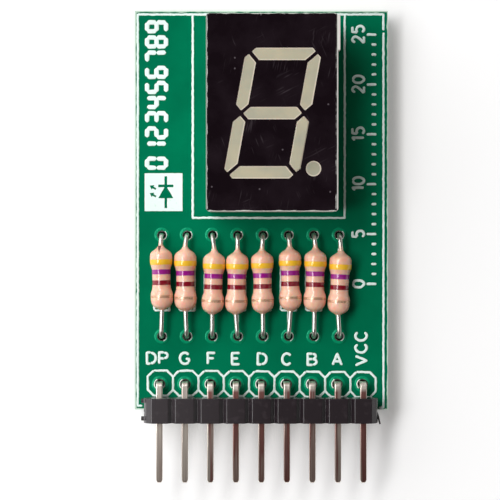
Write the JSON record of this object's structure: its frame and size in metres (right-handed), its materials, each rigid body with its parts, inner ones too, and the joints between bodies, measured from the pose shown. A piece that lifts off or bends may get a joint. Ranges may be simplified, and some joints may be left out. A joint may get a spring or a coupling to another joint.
{
  "type": "seven segment display module",
  "caption": "Single digit seven segment display soldered to a small circuit board with a row of axial resistors and a right-angle pin header.",
  "frame": {"origin": "under the middle of the whole outline, level with the trimmed lead ends on the back", "axes": "+Z out of the digit's face, +Y from the header to the top of the digit, +X to the digit's right"},
  "size_m": [0.0254, 0.0472, 0.011],
  "materials": {
    "green_mask": "glossy solder mask over laminate",
    "tinned_copper": "tinned",
    "white_print": "screen-printed ink",
    "black_nylon": "moulded, fine texture",
    "tinned_brass": "thin tin plate over brass",
    "solder": "bright, as reflowed",
    "peach_lacquer": "dipped lacquer",
    "yellow_paint": "painted band",
    "violet_paint": "painted band",
    "brown_paint": "painted band",
    "gold_paint": "metallic painted band",
    "tinned_wire": "tinned, drawn",
    "white_shell": "moulded",
    "black_coat": "printed, satin",
    "milky_resin": "cast, diffusing",
    "light_chip": "diced",
    "carrier_laminate": "bare laminate",
    "potting_resin": "cast"
  },
  "bodies": {
    "root": {"circuit_board": "green_mask", "plated_holes": "tinned_copper", "board_print": "white_print", "header_strip": "black_nylon", "header_solder": "solder", "resistor_solder": "solder", "display_solder": "solder", "display_shell": "white_shell", "display_face_ink": "black_coat", "decimal_point": "milky_resin", "led_chips": "light_chip", "led_carrier": "carrier_laminate", "display_potting": "potting_resin", "display_pins_lower": "tinned_wire", "display_pins_upper": "tinned_wire", "header_pin_dp": "tinned_brass", "header_pin_g": "tinned_brass", "header_pin_f": "tinned_brass", "header_pin_e": "tinned_brass", "header_pin_d": "tinned_brass", "header_pin_c": "tinned_brass", "header_pin_b": "tinned_brass", "header_pin_a": "tinned_brass", "header_pin_vcc": "tinned_brass", "resistor_body_dp": "peach_lacquer", "resistor_body_g": "peach_lacquer", "resistor_body_f": "peach_lacquer", "resistor_body_e": "peach_lacquer", "resistor_body_d": "peach_lacquer", "resistor_body_c": "peach_lacquer", "resistor_body_b": "peach_lacquer", "resistor_body_a": "peach_lacquer", "resistor_leads_dp": "tinned_wire", "resistor_leads_g": "tinned_wire", "resistor_leads_f": "tinned_wire", "resistor_leads_e": "tinned_wire", "resistor_leads_d": "tinned_wire", "resistor_leads_c": "tinned_wire", "resistor_leads_b": "tinned_wire", "resistor_leads_a": "tinned_wire", "resistor_bands_yellow": "yellow_paint", "resistor_bands_violet": "violet_paint", "resistor_bands_brown": "brown_paint", "resistor_bands_gold": "gold_paint", "segment_a": "milky_resin", "segment_b": "milky_resin", "segment_c": "milky_resin", "segment_d": "milky_resin", "segment_e": "milky_resin", "segment_f": "milky_resin", "segment_g": "milky_resin"}
  },
  "joints": []
}
